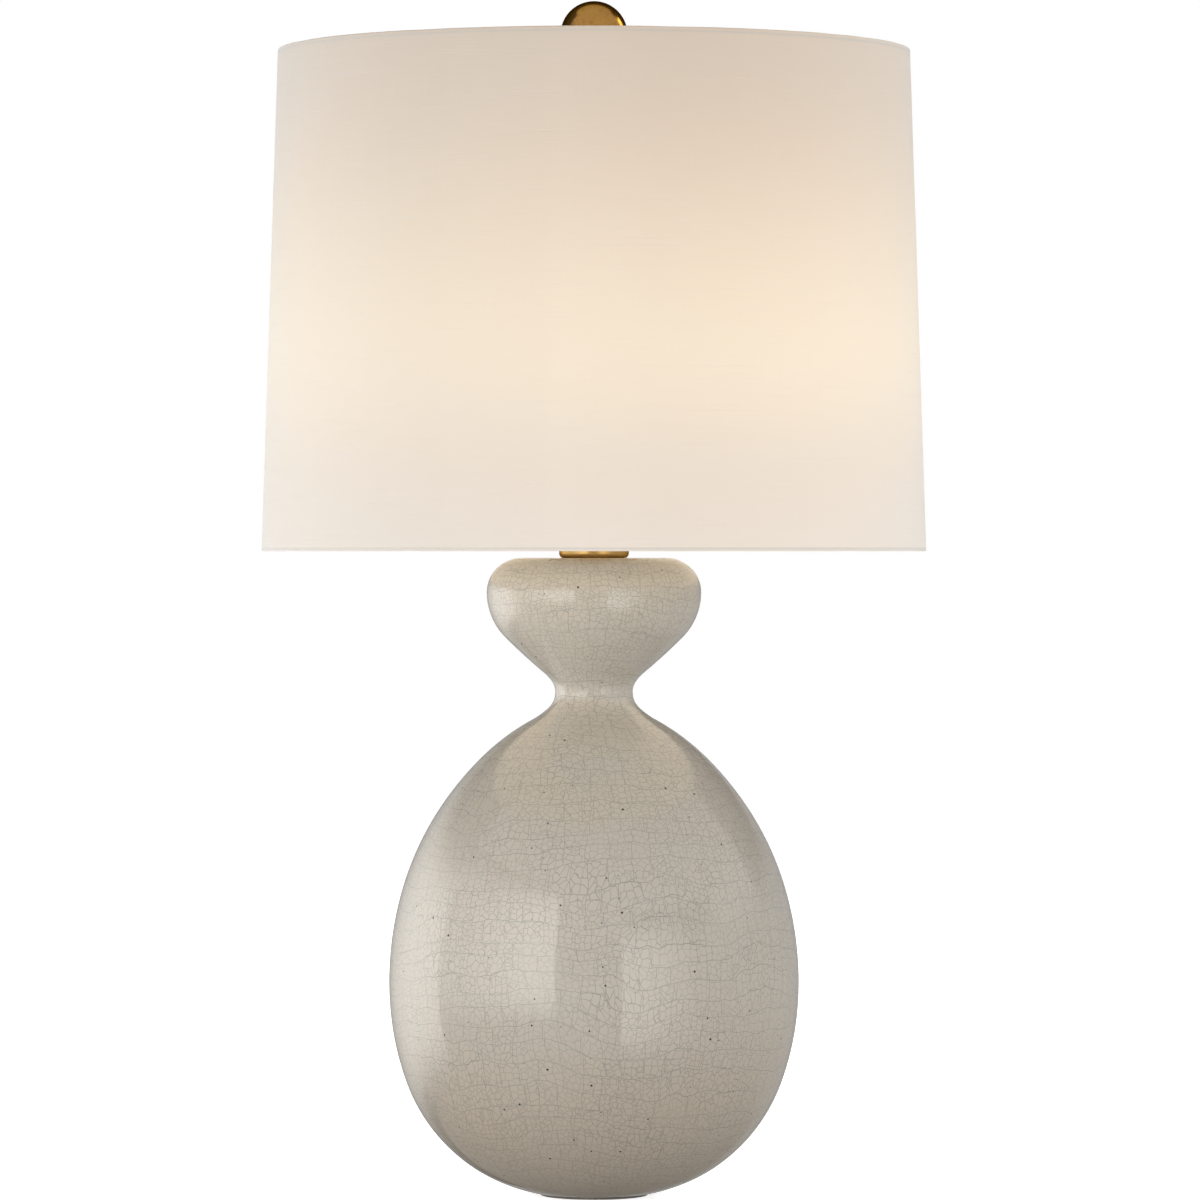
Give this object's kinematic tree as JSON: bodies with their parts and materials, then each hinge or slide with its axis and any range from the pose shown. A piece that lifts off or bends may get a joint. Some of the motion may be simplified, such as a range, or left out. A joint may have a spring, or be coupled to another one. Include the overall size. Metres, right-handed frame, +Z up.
{
  "type": "table lamp",
  "caption": "Table lamp with a hollow gourd-shaped crackle-glazed ceramic body, brass cap, screw socket, wire harp, linen drum shade and ball finial.",
  "frame": {"origin": "middle of the felt under the foot, on the surface that the lamp stands on", "axes": "+Z up along the lamp's axis, -Y towards the front with the dimmer knob, +Y towards the back with the cord inlet, +X to the right"},
  "size_m": [0.4383, 0.4384, 0.7878],
  "materials": {
    "felt": "matt wool felt",
    "crackle_glaze": "glossy greige crackle glaze",
    "fibre": "pressed fibre",
    "zinc_steel": "zinc plated",
    "bushing_plastic": "satin moulded",
    "gasket_rubber": "matt",
    "aged_brass": "antique satin brass",
    "harp_brass": "brass plated wire",
    "socket_brass": "bright spun brass",
    "socket_paper": "pressed paper sleeve",
    "phenolic": "moulded phenolic",
    "shell_aluminium": "thin formed sheet",
    "knob_plastic": "moulded",
    "frosted_glass": "inside frosted",
    "insulator_glass": "black vitrite",
    "stem_glass": "clear",
    "filament_wire": "drawn wire",
    "linen": "slubby woven linen",
    "styrene": "white lampshade backing",
    "ring_wire": "white coated wire"
  },
  "bodies": {
    "root": {"felt_pad": "felt", "ceramic_body": "crackle_glaze", "fibre_washer": "fibre", "base_washer": "zinc_steel", "base_nut": "zinc_steel", "lamp_pipe": "zinc_steel", "cord_bushing": "bushing_plastic", "bushing_nut": "bushing_plastic", "cap_gasket": "gasket_rubber", "vase_cap": "aged_brass", "neck": "aged_brass", "harp_saddle": "harp_brass", "socket_cap": "socket_brass", "socket_set_screw": "zinc_steel", "socket_shell": "socket_brass", "socket_liner": "socket_paper", "socket_block": "phenolic", "terminal_screws": "socket_brass", "socket_screw_shell": "shell_aluminium", "socket_contact": "socket_brass"},
    "dimmer": {"dimmer_shaft": "socket_brass", "dimmer_knob": "knob_plastic"},
    "bulb": {"bulb_glass": "frosted_glass", "bulb_base": "shell_aluminium", "bulb_insulator": "insulator_glass", "bulb_contact": "zinc_steel", "bulb_stem": "stem_glass", "bulb_filament": "filament_wire"},
    "harp": {"harp": "harp_brass", "harp_stud": "harp_brass"},
    "sleeve_left": {"harp_sleeve_left": "harp_brass"},
    "sleeve_right": {"harp_sleeve_right": "harp_brass"},
    "shade": {"shade_fabric": "linen", "shade_liner": "styrene", "shade_top_ring": "ring_wire", "shade_bottom_ring": "ring_wire", "shade_spider": "harp_brass"},
    "finial": {"finial_base": "aged_brass", "finial_ball": "aged_brass"}
  },
  "joints": [
    {"name": "dimmer_turn", "type": "hinge", "parent": "root", "child": "dimmer", "pos_m": [0, -0.027, 0.4749], "axis": [0, -1, 0], "range_deg": [0, 300]},
    {"name": "bulb_turn", "type": "hinge", "parent": "root", "child": "bulb", "pos_m": [0, 0, 0.5], "axis": [0, 0, 1], "range_deg": [0, 1800]},
    {"name": "harp_lift", "type": "slide", "parent": "root", "child": "harp", "axis": [0, 0, 1], "range_m": [0, 0.022]},
    {"name": "harp_sleeve_left_slide", "type": "slide", "parent": "harp", "child": "sleeve_left", "axis": [0, 0, 1], "range_m": [0, 0.018]},
    {"name": "harp_sleeve_right_slide", "type": "slide", "parent": "harp", "child": "sleeve_right", "axis": [0, 0, 1], "range_m": [0, 0.018]},
    {"name": "shade_lift", "type": "slide", "parent": "harp", "child": "shade", "axis": [0, 0, 1], "range_m": [0, 0.335]},
    {"name": "finial_turn", "type": "hinge", "parent": "shade", "child": "finial", "pos_m": [0, 0, 0.7656], "axis": [0, 0, 1], "range_deg": [0, 3600]}
  ]
}
